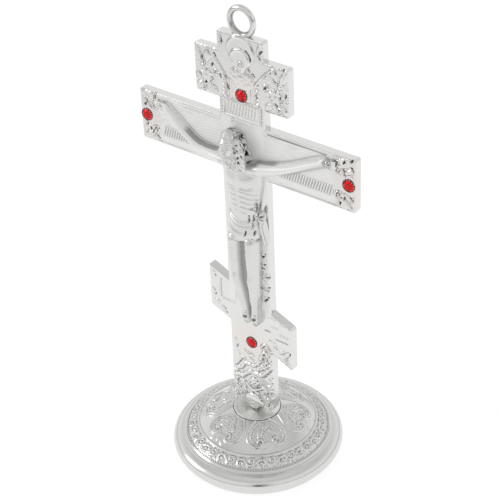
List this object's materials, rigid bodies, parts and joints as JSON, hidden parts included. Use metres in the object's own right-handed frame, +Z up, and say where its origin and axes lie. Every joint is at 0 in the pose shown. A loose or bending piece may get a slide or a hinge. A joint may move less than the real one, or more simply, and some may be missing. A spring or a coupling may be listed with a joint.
{
  "type": "crucifix",
  "caption": "Standing three-bar cross with a cast figure, red set stones and a hanging ring, screwed to a round pressed and embossed foot.",
  "frame": {"origin": "middle of the circle that the foot's rim stands on", "axes": "+Z up along the shaft of the cross, the figure faces -Y, +X along the crossbar to the viewer's right"},
  "size_m": [0.1096, 0.0784, 0.2199],
  "materials": {
    "silver_plate": "bright silver plate on a zinc casting and a brass pressing",
    "red_glass": "faceted and foiled red glass",
    "zinc_steel": "zinc-plated steel"
  },
  "bodies": {
    "root": {"cross_body": "silver_plate", "corpus": "silver_plate", "left_hand_nail": "silver_plate", "right_hand_nail": "silver_plate", "left_foot_nail": "silver_plate", "right_foot_nail": "silver_plate", "top_setting": "silver_plate", "left_setting": "silver_plate", "right_setting": "silver_plate", "bottom_setting": "silver_plate", "top_stone": "red_glass", "left_stone": "red_glass", "right_stone": "red_glass", "bottom_stone": "red_glass", "hanging_ring": "silver_plate", "base_shell": "silver_plate", "hub_disc": "silver_plate", "fixing_screw": "zinc_steel", "spring_washer": "zinc_steel", "flat_washer": "zinc_steel"}
  },
  "joints": []
}
